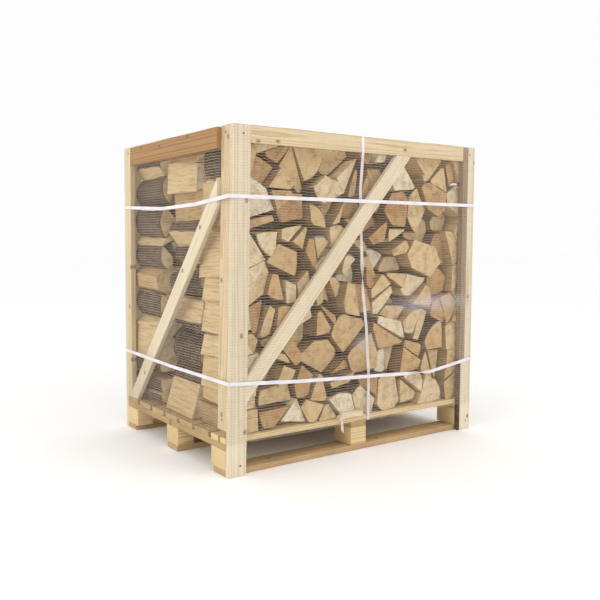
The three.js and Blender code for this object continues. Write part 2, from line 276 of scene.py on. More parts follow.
def log_end_material():
    """The sawn end of a split hardwood log: faint rings round the pith, drying cracks and soft patches."""
    material, tree, shader = start_material("hardwood_end_grain", 0.85)
    grain, tone = timber_inputs(tree)
    axes = add_node(tree, "ShaderNodeSeparateXYZ", {0: grain})
    flat = add_node(tree, "ShaderNodeCombineXYZ", {0: axes.outputs["X"], 1: axes.outputs["Z"]}).outputs[0]
    body = add_node(tree, "ShaderNodeValToRGB", {"Fac": tone}, stops=[
        (0.0, linear("#C39C6B")), (0.3, linear("#D8B886")), (0.65, linear("#E5CFA3")),
        (1.0, linear("#F3EBD6")),
    ]).outputs["Color"]
    # Rings drawn 7 mm apart, coarser than real ones, so that they show.
    rings = add_node(tree, "ShaderNodeTexWave", {
        "Vector": grain, "Scale": RING_PERIOD / (7 * MM), "Distortion": 2.5, "Detail": 2.0,
        "Detail Scale": 0.6,
    }, wave_type="RINGS", rings_direction="Y").outputs["Fac"]
    ring_shade = add_node(tree, "ShaderNodeMapRange", {
        "Value": rings, "To Min": 0.9, "To Max": 1.0,
    }).outputs[0]
    ringed = add_node(tree, "ShaderNodeMix", {0: 1.0, 6: body, 7: ring_shade},
                      data_type="RGBA", blend_type="MULTIPLY").outputs[2]
    # Soft patches 30 mm wide, where the saw has burnished or torn the wood.
    patches = add_node(tree, "ShaderNodeTexNoise", {
        "Vector": grain, "Scale": 1 / (30 * MM), "Detail": 5.0, "Roughness": 0.62,
    }).outputs["Fac"]
    patch_shade = add_node(tree, "ShaderNodeValToRGB", {"Fac": patches}, stops=[
        (0.28, linear("#C2A88A")), (0.5, linear("#F4EEE4")), (0.72, linear("#FFFFFF")),
    ]).outputs["Color"]
    patched = add_node(tree, "ShaderNodeMix", {0: 0.85, 6: ringed, 7: patch_shade},
                       data_type="RGBA", blend_type="MULTIPLY").outputs[2]
    # Drying cracks, which run out from the pith, sunk by the bump below; their dark colour is painted shade
    # inside them.
    turn = add_node(tree, "ShaderNodeTexGradient", {"Vector": flat}, gradient_type="RADIAL").outputs["Fac"]
    reach = add_node(tree, "ShaderNodeVectorMath", {0: flat}, operation="LENGTH").outputs["Value"]
    turned = add_node(tree, "ShaderNodeMath", {0: turn, 1: 9.0}, operation="MULTIPLY").outputs[0]
    reached = add_node(tree, "ShaderNodeMath", {0: reach, 1: 7.0}, operation="MULTIPLY").outputs[0]
    seeded = add_node(tree, "ShaderNodeMath", {0: tone, 1: 90.0}, operation="MULTIPLY").outputs[0]
    fan = add_node(tree, "ShaderNodeCombineXYZ", {0: turned, 1: reached, 2: seeded}).outputs[0]
    waves = add_node(tree, "ShaderNodeTexNoise", {
        "Vector": fan, "Scale": 1.0, "Detail": 1.0, "Roughness": 0.4,
    }).outputs["Fac"]
    off_line = add_node(tree, "ShaderNodeMath", {0: waves, 1: 0.5}, operation="SUBTRACT").outputs[0]
    line = add_node(tree, "ShaderNodeMath", {0: off_line}, operation="ABSOLUTE").outputs[0]
    crack = add_node(tree, "ShaderNodeMapRange", {
        "Value": line, "From Min": 0.002, "From Max": 0.01, "To Min": 0.4, "To Max": 0.0,
    }).outputs[0]
    # Painted shade: the cracks are darkened in colour.
    cracked = add_node(tree, "ShaderNodeMix", {0: crack, 6: patched, 7: linear("#7C5A3A")},
                       data_type="RGBA").outputs[2]
    # Bark 5 mm thick, seen end on.
    bark_at = add_node(tree, "ShaderNodeAttribute", attribute_name="bark_radius").outputs["Fac"]
    from_bark = add_node(tree, "ShaderNodeMath", {0: reach, 1: bark_at}, operation="SUBTRACT").outputs[0]
    bark_share = add_node(tree, "ShaderNodeMapRange", {
        "Value": from_bark, "From Min": -6.5 * MM, "From Max": -4 * MM, "To Min": 0.0, "To Max": 0.9,
    }).outputs[0]
    barked = add_node(tree, "ShaderNodeMix", {0: bark_share, 6: cracked, 7: linear("#6B5443")},
                      data_type="RGBA").outputs[2]
    tree.links.new(mark_in_blue(tree, barked), shader.inputs["Base Color"])
    fuzz = add_node(tree, "ShaderNodeTexNoise", {
        "Vector": grain, "Scale": 1 / (5 * MM), "Detail": 4.0, "Roughness": 0.7,
    }).outputs["Fac"]
    height = add_node(tree, "ShaderNodeMath", {0: crack, 1: -1.5, 2: fuzz},
                      operation="MULTIPLY_ADD").outputs[0]
    bump = add_node(tree, "ShaderNodeBump", {"Height": height, "Strength": 0.8, "Distance": 1.6 * MM})
    tree.links.new(bump.outputs[0], shader.inputs["Normal"])
    return material


def mark_in_blue(tree, colour):
    """A short stroke of blue marker on one log end in the front row."""
    middle, reach = (-0.194, -0.390, 0.809), (0.018, 0.03, 0.005)
    place = add_node(tree, "ShaderNodeTexCoord").outputs["Object"]
    stroke = add_node(tree, "ShaderNodeMapping", {
        "Vector": place, "Location": tuple(-m / r for m, r in zip(middle, reach)),
        "Scale": tuple(1 / r for r in reach),
    }).outputs[0]
    away = add_node(tree, "ShaderNodeVectorMath", {0: stroke}, operation="LENGTH").outputs["Value"]
    share = add_node(tree, "ShaderNodeMapRange", {
        "Value": away, "From Min": 0.6, "From Max": 1.1, "To Min": 0.75, "To Max": 0.0,
    }).outputs[0]
    return add_node(tree, "ShaderNodeMix", {0: share, 6: colour, 7: linear("#5B8FC0")},
                    data_type="RGBA").outputs[2]


def split_face_material():
    """A face torn open by the splitter: long fibres, paler where they have lifted. The ramp's dark low end is
    painted shade for the split faces of logs inside the stack, seen in the gaps between logs.
    """
    material, tree, shader = start_material("split_hardwood_face", 0.8)
    grain, tone = timber_inputs(tree)
    # The dark low stops are painted shade, for the logs inside the stack that are given low tones.
    body = add_node(tree, "ShaderNodeValToRGB", {"Fac": tone}, stops=[
        (0.0, linear("#876A4C")), (0.4, linear("#A88A62")), (0.65, linear("#CCB084")),
        (0.85, linear("#E2CEA4")), (1.0, linear("#F8EFDC")),
    ]).outputs["Color"]
    fibre_place = add_node(tree, "ShaderNodeMapping", {"Vector": grain, "Scale": per_metre(7, 110, 7)})
    fibres = add_node(tree, "ShaderNodeTexNoise", {
        "Vector": fibre_place.outputs[0], "Scale": 1.0, "Detail": 5.0, "Roughness": 0.65,
    }).outputs["Fac"]
    fibre_shade = add_node(tree, "ShaderNodeValToRGB", {"Fac": fibres}, stops=[
        (0.3, linear("#BFA588")), (0.48, linear("#EFE5D6")), (0.7, linear("#FFFFFF")),
    ]).outputs["Color"]
    streaked = add_node(tree, "ShaderNodeMix", {0: 0.9, 6: body, 7: fibre_shade},
                        data_type="RGBA", blend_type="MULTIPLY").outputs[2]
    tree.links.new(streaked, shader.inputs["Base Color"])
    bump = add_node(tree, "ShaderNodeBump", {"Height": fibres, "Strength": 0.7, "Distance": 2 * MM})
    tree.links.new(bump.outputs[0], shader.inputs["Normal"])
    return material


def bark_material():
    """Dry bark: broken plates with shallow fissures along the log, and patches of pale lichen."""
    material, tree, shader = start_material("dry_bark", 0.92)
    grain, tone = timber_inputs(tree)
    plate_place = add_node(tree, "ShaderNodeMapping", {"Vector": grain, "Scale": per_metre(15, 42, 15)})
    plates = add_node(tree, "ShaderNodeTexNoise", {
        "Vector": plate_place.outputs[0], "Scale": 1.0, "Detail": 6.0, "Roughness": 0.68, "Distortion": 0.6,
    }).outputs["Fac"]
    body = add_node(tree, "ShaderNodeValToRGB", {"Fac": plates}, stops=[
        (0.34, linear("#30241D")), (0.46, linear("#4D3E32")), (0.68, linear("#6C5A49")),
    ]).outputs["Color"]
    patches = add_node(tree, "ShaderNodeTexNoise", {
        "Vector": grain, "Scale": 1 / (42 * MM), "Detail": 5.0, "Roughness": 0.7,
    }).outputs["Fac"]
    lichen = add_node(tree, "ShaderNodeMapRange", {
        "Value": patches, "From Min": 0.52, "From Max": 0.68, "To Min": 0.0, "To Max": 0.6,
    }).outputs[0]
    grown = add_node(tree, "ShaderNodeMix", {0: lichen, 6: body, 7: linear("#7B6A58")},
                     data_type="RGBA").outputs[2]
    brightness = add_node(tree, "ShaderNodeMapRange", {
        "Value": tone, "To Min": 0.8, "To Max": 1.2,
    }).outputs[0]
    toned = add_node(tree, "ShaderNodeHueSaturation", {"Color": grown, "Value": brightness}).outputs[0]
    tree.links.new(toned, shader.inputs["Base Color"])
    bump = add_node(tree, "ShaderNodeBump", {"Height": plates, "Strength": 0.9, "Distance": 3.5 * MM})
    tree.links.new(bump.outputs[0], shader.inputs["Normal"])
    return material


# ---------------------------------------------------------------- binding and nail materials


def strap_material():
    """Bonded polyester cord strap: white with a faint lilac cast, ribbed along its length."""
    material, tree, shader = start_material("woven_polyester_strap", 0.5, 1.57)
    run = add_node(tree, "ShaderNodeAttribute", attribute_name="grain").outputs["Vector"]
    # Cords 1 mm apart run along the strap, drawn 2 mm apart so that they show.
    cords = add_node(tree, "ShaderNodeTexWave", {
        "Vector": run, "Scale": RING_PERIOD / (2 * MM), "Distortion": 0.4,
    }, bands_direction="X").outputs["Fac"]
    soil = add_node(tree, "ShaderNodeTexNoise", {
        "Vector": run, "Scale": 1 / (60 * MM), "Detail": 4.0,
    }).outputs["Fac"]
    colour = add_node(tree, "ShaderNodeValToRGB", {"Fac": soil}, stops=[
        (0.3, linear("#D9D4DA")), (0.6, linear("#EBE7EB")),
    ]).outputs["Color"]
    shade = add_node(tree, "ShaderNodeMapRange", {"Value": cords, "To Min": 0.94, "To Max": 1.0}).outputs[0]
    ribbed = add_node(tree, "ShaderNodeMix", {0: 1.0, 6: colour, 7: shade},
                      data_type="RGBA", blend_type="MULTIPLY").outputs[2]
    tree.links.new(ribbed, shader.inputs["Base Color"])
    bump = add_node(tree, "ShaderNodeBump", {"Height": cords, "Strength": 0.5, "Distance": 0.3 * MM})
    tree.links.new(bump.outputs[0], shader.inputs["Normal"])
    return material


def tape_material():
    """Knitted polyethylene tape, milky, drawn a darker tan: painted shade along the thin strands and painted
    colour of the wood seen through them.
    """
    material, tree, shader = start_material("knitted_polyethylene_tape", 0.4, 1.51)
    place = add_node(tree, "ShaderNodeTexCoord").outputs["Object"]
    haze = add_node(tree, "ShaderNodeTexNoise", {
        "Vector": place, "Scale": 1 / (25 * MM), "Detail": 3.0,
    }).outputs["Fac"]
    # These tans are painted: shade along the strands and the wood's colour seen through the milky tape.
    colour = add_node(tree, "ShaderNodeValToRGB", {"Fac": haze}, stops=[
        (0.35, linear("#BCA88A")), (0.65, linear("#CFC0AA")),
    ]).outputs["Color"]
    tree.links.new(colour, shader.inputs["Base Color"])
    return material


def veil_material():
    """The net's finest threads, too fine to draw one by one: a faint milky veil, thicker where they bunch."""
    material, tree, shader = start_material("fine_net_veil", 0.5, 1.51)
    place = add_node(tree, "ShaderNodeTexCoord").outputs["Object"]
    shader.inputs["Base Color"].default_value = linear("#E3DCE4")
    streak_place = add_node(tree, "ShaderNodeMapping", {"Vector": place, "Scale": per_metre(170, 170, 16)})
    streaks = add_node(tree, "ShaderNodeTexNoise", {
        "Vector": streak_place.outputs[0], "Scale": 1.0, "Detail": 4.0, "Roughness": 0.6,
    }).outputs["Fac"]
    veil = add_node(tree, "ShaderNodeMapRange", {
        "Value": streaks, "From Min": 0.35, "From Max": 0.75, "To Min": 0.0, "To Max": 0.05,
    }).outputs[0]
    # A bunch of threads that rises to the right across the front, and a smaller one at its left.
    thickest = veil
    for middle, reach, tilt, most in (
        (Vector((0.36, -0.421, 0.545)), Vector((0.32, 0.05, 0.045)), -0.15, 0.75),
        (Vector((0.0, -0.421, 0.405)), Vector((0.08, 0.05, 0.05)), 0.3, 0.45),
    ):
        centred = add_node(tree, "ShaderNodeVectorMath", {0: place, 1: middle}, operation="SUBTRACT")
        turned = add_node(tree, "ShaderNodeMapping", {
            "Vector": centred.outputs[0], "Rotation": (0, tilt, 0),
            "Scale": tuple(1 / r for r in reach),
        }, vector_type="POINT").outputs[0]
        away = add_node(tree, "ShaderNodeVectorMath", {0: turned}, operation="LENGTH").outputs["Value"]
        bunch = add_node(tree, "ShaderNodeMapRange", {
            "Value": away, "From Min": 0.2, "From Max": 1.0, "To Min": most, "To Max": 0.0,
        }).outputs[0]
        broken = add_node(tree, "ShaderNodeMath", {0: bunch, 1: streaks}, operation="MULTIPLY").outputs[0]
        thickest = add_node(tree, "ShaderNodeMath", {0: thickest, 1: broken}, operation="ADD").outputs[0]
    tree.links.new(thickest, shader.inputs["Alpha"])
    return material


def nail_material():
    """A bright steel nail gone dull, with a bloom of rust."""
    material, tree, shader = start_material("dull_steel_nail", 0.5)
    shader.inputs["Metallic"].default_value = 0.7
    place = add_node(tree, "ShaderNodeTexCoord").outputs["Object"]
    bloom = add_node(tree, "ShaderNodeTexNoise", {
        "Vector": place, "Scale": 1 / (3 * MM), "Detail": 3.0,
    }).outputs["Fac"]
    colour = add_node(tree, "ShaderNodeValToRGB", {"Fac": bloom}, stops=[
        (0.4, linear("#6B655E")), (0.7, linear("#6E4A34")),
    ]).outputs["Color"]
    tree.links.new(colour, shader.inputs["Base Color"])
    return material


# ---------------------------------------------------------------- helpers for modelling


def only(piece):
    """Leaves one piece, or nothing, selected and active."""
    for other in bpy.context.selected_objects:
        other.select_set(False)
    bpy.context.view_layer.objects.active = piece
    if piece is not None:
        piece.select_set(True)


def settle(piece):
    """Puts the piece's place, turn and size into its mesh."""
    only(piece)
    bpy.ops.object.transform_apply(location=True, rotation=True, scale=True)
    return piece


def start_block(low, high):
    """A cube primitive, stretched to fill a box."""
    only(None)
    bpy.ops.mesh.primitive_cube_add(size=1, location=(low + high) / 2)
    piece = bpy.context.object
    piece.scale = high - low
    return settle(piece)


def saw_off(point, normal):
    """In edit mode, saws off all that lies beyond a plane and closes the cut."""
    bpy.ops.mesh.select_all(action="SELECT")
    bpy.ops.mesh.bisect(plane_co=point, plane_no=normal, use_fill=True, clear_outer=True)


def score(point, normal):
    """In edit mode, adds edges where a plane meets the piece."""
    bpy.ops.mesh.select_all(action="SELECT")
    bpy.ops.mesh.bisect(plane_co=point, plane_no=normal)


def select_points(piece, test):
    """In edit mode, selects the points that pass a test of their place."""
    bpy.ops.mesh.select_mode(type="VERT")
    bpy.ops.mesh.select_all(action="DESELECT")
    bpy.ops.object.mode_set(mode="OBJECT")
    for vertex in piece.data.vertices:
        vertex.select = test(vertex.co)
    bpy.ops.object.mode_set(mode="EDIT")


def apply_modifier(piece, kind, **settings):
    modifier = piece.modifiers.new(kind.lower(), kind)
    for name, value in settings.items():
        setattr(modifier, name, value)
    only(piece)
    bpy.ops.object.modifier_apply(modifier=modifier.name)


def points_of(piece):
    flat = np.empty(3 * len(piece.data.vertices), np.float32)
    piece.data.vertices.foreach_get("co", flat)
    return flat.reshape(-1, 3).astype(float)


def set_points(piece, points):
    piece.data.vertices.foreach_set("co", points.astype(np.float32).ravel())
    piece.data.update()


def drift(points, size, depth, seed):
    """Smooth random moves for points, with bumps of a size and depth in metres."""
    shift = Vector((seed * 7.31, seed * 3.17, seed * 5.73))
    return depth * np.array([noise.noise_vector(Vector(p) / size + shift) for p in points])


def store(piece, name, kind, values):
    """Stores one value, or one vector, for each point of the piece."""
    attribute = piece.data.attributes.new(name, kind, "POINT")
    field = "vector" if kind == "FLOAT_VECTOR" else "value"
    attribute.data.foreach_set(field, np.asarray(values, np.float32).ravel())


def finish_piece(piece, name, materials, replaced=(), angle=40):
    """Names the piece, gives it its materials, shades it and lets it ride on the crate."""
    piece.name = name
    piece.data.name = name
    if not piece.data.materials:
        for material in materials:
            piece.data.materials.append(material)
    only(piece)
    bpy.ops.object.shade_smooth_by_angle(angle=math.radians(angle))
    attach(piece, "root")
    if replaced:
        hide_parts(*replaced)
    return piece


def join_pieces(pieces):
    """Joins several meshes into the first."""
    only(pieces[0])
    for piece in pieces[1:]:
        piece.select_set(True)
    if len(pieces) > 1:
        bpy.ops.object.join()
    return bpy.context.object


# ---------------------------------------------------------------- boards

EDGE_WEAR = 1.3 * MM  # the worn rounding of a sawn edge
SCORE_STEP = 75 * MM  # how far apart a board's points lie along it
board_draw = random.Random(41)


def board(node, material, along=None, slant=0.0, cuts=(), tone=None, dark_left_edge=None):
    """One sawn board, shaped from a block that fills its CAD node's box.

    A dark left edge is the corner above which the second material shows, how far the bark material reaches
    below it, and both materials.
    """
    low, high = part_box(node)
    size = high - low
    narrow = high - Vector((slant, 0, 0))
    piece = start_block(low, narrow)
    if along is None:
        along = Vector([float(k == max(range(3), key=lambda i: size[i])) for k in range(3)])
    bpy.ops.object.mode_set(mode="EDIT")
    if slant:
        select_points(piece, lambda place: place.z > (low.z + high.z) / 2)
        bpy.ops.transform.translate(value=(slant, 0, 0))
    for point, normal in cuts:
        saw_off(point, normal)
    bpy.ops.mesh.select_all(action="SELECT")
    bpy.ops.mesh.bevel(offset=EDGE_WEAR, segments=2, affect="EDGES")
    middle = (low + high) / 2
    reach = sum(abs(along[k]) * size[k] for k in range(3)) / 2
    for i in range(1, int(2 * reach / SCORE_STEP) + 1):
        score(middle + along * (i * SCORE_STEP - reach), along)
    if dark_left_edge:
        corner, bark_side, upper_edge_material, bark = dark_left_edge
        score((corner.x, 0, 0), (1, 0, 0))
        score((bark_side, 0, 0), (1, 0, 0))
        score((0, 0, corner.z), (0, 0, 1))
    bpy.ops.object.mode_set(mode="OBJECT")
    points = points_of(piece)
    seed = board_draw.random() * 90
    moved = points + drift(points, 120 * MM, 1.1 * MM, seed) + drift(points, 22 * MM, 0.35 * MM, seed + 9)
    set_points(piece, np.clip(moved, low, high))
    lay_grain(piece, along, size, middle)
    shade = board_draw.uniform(0.3, 0.8) if tone is None else tone
    store(piece, "tone", "FLOAT", np.full(len(points), shade))
    piece.data.materials.append(material)
    if dark_left_edge:
        piece.data.materials.append(upper_edge_material)
        piece.data.materials.append(bark)
        # The board's left edge takes the darker materials: the grey-brown pine above the corner and the bark
        # material in the strip below it.
        for face in piece.data.polygons:
            if face.center.z > corner.z:
                face.material_index = int(face.center.x < corner.x)
            elif face.center.x < bark_side:
                face.material_index = 2
    return finish_piece(piece, node.replace("_board", "") + "_timber", [], [node])


def lay_grain(piece, along, size, middle):
    """Stores each point's place in the log that the board was sawn from."""
    through = min((k for k in range(3) if abs(along[k]) < 0.9), key=lambda k: size[k])
    inwards = Vector([float(k == through) for k in range(3)])
    across = along.cross(inwards).normalized()
    pith = middle + inwards * board_draw.choice((-1, 1)) * board_draw.uniform(18, 70) * MM
    pith += across * board_draw.uniform(-22, 22) * MM
    pith -= along * board_draw.uniform(1, 9)
    axes = np.array([across, along, inwards])
    store(piece, "grain", "FLOAT_VECTOR", (points_of(piece) - np.array(pith)) @ axes.T)


def build_pallet(weathered, scuffed, fresh):
    for row in ("front", "middle", "back"):
        board(f"skid_{row}", scuffed if row == "front" else weathered, tone=0.6)
        for column in ("left", "middle", "right"):
            board(f"block_{row}_{column}", fresh, along=Vector((1, 0, 0)))
    for column in ("left", "middle", "right"):
        board(f"stringer_{column}", weathered, tone=0.2)
    for i in range(1, 8):
        board(f"deck_board_{i}", fresh if i == 1 else weathered)


def build_posts(pine, side_pine, upper_edge_material, bark):
    # The front right board's left edge is darker: the bark material in a narrow strip at its foot, a
    # grey-brown pine above.
    edge_corner_point, bark_side = Vector((0.561, 0, 0.30)), 0.539
    for corner, face in (("front_left", "front"), ("front_right", "front"),
                         ("back_left", "back"), ("back_right", "back")):
        lean = LEAN if corner == "front_left" else 0.0
        darkened_edge = (edge_corner_point, bark_side, upper_edge_material, bark) if corner == "front_right" else None
        board(f"post_{corner}_{face}_board", pine, slant=lean, tone=0.7, dark_left_edge=darkened_edge)
        board(f"post_{corner}_side_board", side_pine, slant=lean * SIDE_BOARD_SHARE,
              tone=0.55)


def build_rails(pine, orange):
    board("rail_front", pine, tone=0.75)
    board("rail_back", pine)
    board("rail_left", orange, tone=0.5)
    board("rail_right", orange)


BRACE_RISE = 86 * MM  # height of the front and back braces' cut against the post
SIDE_BRACE_RISE = 92 * MM
SIDE_BRACE_SLOPE = 1.2  # rise over run


def build_braces(pine):
    """Diagonal boards: each block is sawn along the brace's lower and upper edge."""
    for node, side in (("brace_front", 1), ("brace_back", -1)):
        low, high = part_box(node)
        foot = Vector((low.x if side > 0 else high.x, low.y, low.z))
        head = Vector((high.x if side > 0 else low.x, low.y, high.z))
        run = (head - foot).normalized()
        below = Vector((run.z * side, 0, -run.x * side))
        upper = foot + Vector((0, 0, BRACE_RISE))
        board(node, pine, along=run, cuts=[(foot, below), (upper, -below)], tone=0.95)
    for node, side in (("brace_left", -1), ("brace_right", 1)):
        low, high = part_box(node)
        head = Vector((low.x, low.y if side < 0 else high.y, high.z))
        run = Vector((0, side, SIDE_BRACE_SLOPE)).normalized()
        above = Vector((0, -side * run.z, abs(run.y)))
        under = head - Vector((0, 0, SIDE_BRACE_RISE))
        board(node, pine, along=run, cuts=[(head, above), (under, -above)], tone=0.5)


# ---------------------------------------------------------------- split logs

LOG_SIDES = 18
LOG_LENGTH = 250 * MM
CELL_COUNT = 92  # rounds in a row before some are split again
STACK_HALF = 572 * MM
SIDE_ROOM = 576.5 * MM  # the logs' sides stay inside the side boards and braces
STACK_TOP = 1.154
HEAP = 45 * MM  # how far down the uneven top of a row reaches
# The rows, with the share of the post's lean that each takes up, how uneven its top is, which end
# shows, the share of its side logs with bark outwards, and how far those may stand back, in mm.
ROWS = (
    {"name": "front", "lean_share": 1.0, "drop": 5, "open_end": "front", "bark_out": 0.1,
     "hollow": (0, 12)},
    {"name": "middle", "lean_share": 0.7, "drop": 4, "open_end": None, "bark_out": 0.6,
     "hollow": (4, 44)},
    {"name": "back", "lean_share": 0.35, "drop": 30, "open_end": "back", "bark_out": 0.85,
     "hollow": (0, 10)},
)
FOOT_ZONE = 60 * MM  # logs that start this close to the deck stand flush with its edge
log_draw = random.Random(2024)


def keep_behind(outline, point, normal):
    """The part of a convex outline that lies behind a line."""
    kept = []
    for here, there in zip(outline, outline[1:] + outline[:1]):
        a = (here - point).dot(normal)
        b = (there - point).dot(normal)
        if a <= 0:
            kept.append(here)
        if a * b < 0:
            kept.append(here + (there - here) * (a / (a - b)))
    return kept


def area_of(outline):
    pairs = zip(outline, outline[1:] + outline[:1])
    return abs(sum(a.x * b.y - b.x * a.y for a, b in pairs)) / 2


def middle_of(outline):
    return sum(outline, Vector((0, 0))) / len(outline)


def spread_points(count, low, high):
    """Random points that keep their distance, each the loneliest of several tries."""
    found = []
    for _ in range(count):
        tries = [
            Vector((log_draw.uniform(low.x, high.x), log_draw.uniform(low.y, high.y)))
            for _ in range(7)
        ]
        found.append(max(tries, key=lambda t: min([(t - f).length for f in found] or [1])))
    return found


def log_outlines(row):
    """Convex outlines (x, z) that fill the face of one row, one for each log."""
    low = DECK_TOP + 0.6 * MM
    lean = row["lean_share"]
    bounds = [
        Vector((-STACK_HALF + lean * lean_at(low), low)), Vector((STACK_HALF, low)),
        Vector((STACK_HALF, STACK_TOP)), Vector((-STACK_HALF + lean * lean_at(STACK_TOP), STACK_TOP)),
    ]
    seeds = spread_points(CELL_COUNT, Vector((-STACK_HALF, low)), Vector((STACK_HALF, STACK_TOP)))
    weights = [log_draw.uniform(0, 0.0024) for _ in seeds]
    outlines = []
    for here, mine in zip(seeds, weights):
        outline = bounds
        for there, theirs in zip(seeds, weights):
            apart = there - here
            if there is here or apart.length > 0.45:
                continue
            share = 0.5 + (mine - theirs) / (2 * apart.length_squared)
            outline = keep_behind(outline, here + apart * share, apart)
            if len(outline) < 3:
                break
        if len(outline) >= 3 and area_of(outline) > 0.0012:
            outlines += split_again(outline)
    return [lower_top(o, row["drop"] * MM) for o in outlines]


def split_again(outline):
    """Some rounds are split in two through the middle."""
    area = area_of(outline)
    if area < 0.008 or log_draw.random() > 0.3 + 22 * area:
        return [outline]
    angle = log_draw.uniform(0, math.pi)
    across = Vector((math.cos(angle), math.sin(angle)))
    middle = middle_of(outline)
    halves = [keep_behind(outline, middle, across), keep_behind(outline, middle, -across)]
    return [half for half in halves if len(half) >= 3 and area_of(half) > 0.0009]


def lower_top(outline, drop):
    """The stack's top is uneven: each outline that reaches it is cut lower, at a tilt."""
    if max(p.y for p in outline) < STACK_TOP - MM:
        return outline
    place = Vector((middle_of(outline).x, STACK_TOP - log_draw.uniform(0.0, drop)))
    tilt = log_draw.uniform(-0.08, 0.08)
    cut = keep_behind(outline, place, Vector((math.sin(tilt), math.cos(tilt))))
    return cut if len(cut) >= 3 else outline


def side_of(outline):
    """-1 or 1 if the outline lies along the stack's left or right side, and 0 if it is inside."""
    if min(p.x for p in outline) < -STACK_HALF + LEAN + MM:
        return -1
    return 1 if max(p.x for p in outline) > STACK_HALF - MM else 0


def choose_pith(outline, side, row):
    """Where the tree's middle was, how far out its bark lay, and whether the bark faces outwards."""
    middle = middle_of(outline)
    kind = log_draw.random()
    if side and kind < row["bark_out"]:
        edge = max(side * p.x for p in outline)
        deep = log_draw.uniform(80, 120) * MM
        pith = Vector((side * (edge - deep), middle.y + log_draw.uniform(-15, 15) * MM))
        return pith, deep - log_draw.uniform(*row["hollow"]) * MM, True
    if side:
        pith = middle + Vector((side * 0.07, log_draw.uniform(-0.05, 0.05)))
        cover = 1.05
    elif kind < 0.66:
        pith = middle + (log_draw.choice(outline) - middle) * log_draw.uniform(0.7, 1.1)
        cover = log_draw.uniform(0.74, 0.92)
    elif kind < 0.85:
        pith = middle
        cover = log_draw.uniform(0.74, 0.88)
    else:
        angle = log_draw.uniform(0, 2 * math.pi)
        pith = middle + 0.09 * Vector((math.cos(angle), math.sin(angle)))
        cover = 1.05
    return pith, cover * max((p - pith).length for p in outline), False


def end_setback(open_end, flush):
    """How far a log's end stands back from the face of the stack."""
    kind = log_draw.random()
    if open_end is None:
        return log_draw.uniform(0.0, 22 * MM)
    if flush:
        return log_draw.uniform(0.0, 8 * MM)
    if kind < 0.5:
        return log_draw.uniform(0.0, 14 * MM)
    if kind < 0.83:
        return log_draw.uniform(12 * MM, 40 * MM)
    return log_draw.uniform(38 * MM, 80 * MM)


def gap_beside():
    """How far a split face stands back from the outline: mostly close, sometimes wide."""
    kind = log_draw.random()
    if kind < 0.55:
        return log_draw.uniform(0.8, 4.0) * MM
    return log_draw.uniform(4, 13) * MM if kind < 0.88 else log_draw.uniform(13, 26) * MM


